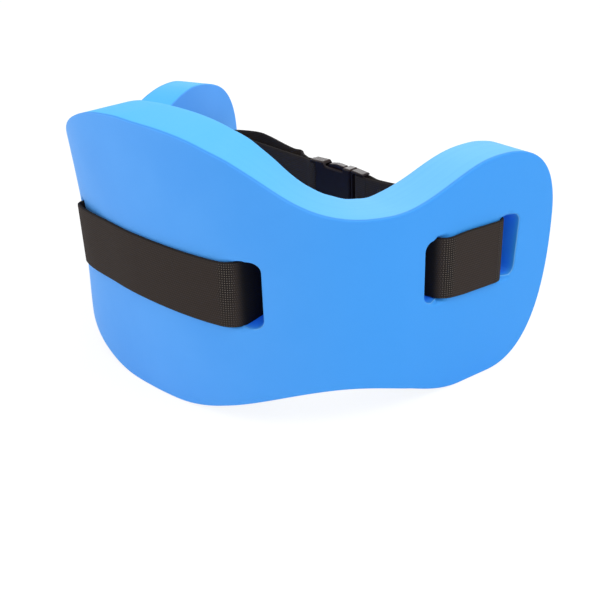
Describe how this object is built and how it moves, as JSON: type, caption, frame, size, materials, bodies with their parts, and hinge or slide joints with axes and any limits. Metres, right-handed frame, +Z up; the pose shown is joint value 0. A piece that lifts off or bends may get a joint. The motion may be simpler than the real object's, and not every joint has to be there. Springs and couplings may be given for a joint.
{
  "type": "swim belt",
  "caption": "Three-lobed foam slab bent round the waist, with flat webbing woven through slots and a side-release buckle.",
  "frame": {"origin": "middle of the belt's bounding box in plan, on the surface that its lobes stand on", "axes": "+Z up, as worn; +Y from the middle of the back towards the buckle in front; +X to the side of the buckle's plug"},
  "size_m": [0.3932, 0.255, 0.2164],
  "materials": {
    "foam": "closed-cell foam with a smooth skin, satin",
    "webbing": "woven polypropylene webbing, matte",
    "buckle": "moulded acetal, glossy"
  },
  "bodies": {
    "belt": {"foam_float": "foam", "webbing_harness": "webbing", "webbing_socket_end": "webbing", "webbing_free_stretch": "webbing", "buckle_socket": "buckle"},
    "plug": {"buckle_plug": "buckle", "webbing_plug_end": "webbing"},
    "upper_arm": {"release_arm_upper": "buckle"},
    "lower_arm": {"release_arm_lower": "buckle"}
  },
  "joints": [
    {"name": "plug_slide", "type": "slide", "parent": "belt", "child": "plug", "axis": [0.9945, -0.1045, 0], "range_m": [0, 0.036], "deforming": ["webbing_free_stretch", "release_arm_upper", "release_arm_lower"]},
    {"name": "upper_arm_press", "type": "hinge", "parent": "plug", "child": "upper_arm", "pos_m": [0.035, 0.07722, 0.1177], "axis": [-0.1045, -0.9945, 0], "range_deg": [0, 16], "stiffness_Nm_per_rad": 0.4},
    {"name": "lower_arm_press", "type": "hinge", "parent": "plug", "child": "lower_arm", "pos_m": [0.035, 0.07722, 0.0897], "axis": [0.1045, 0.9945, 0], "range_deg": [0, 16], "stiffness_Nm_per_rad": 0.4}
  ]
}
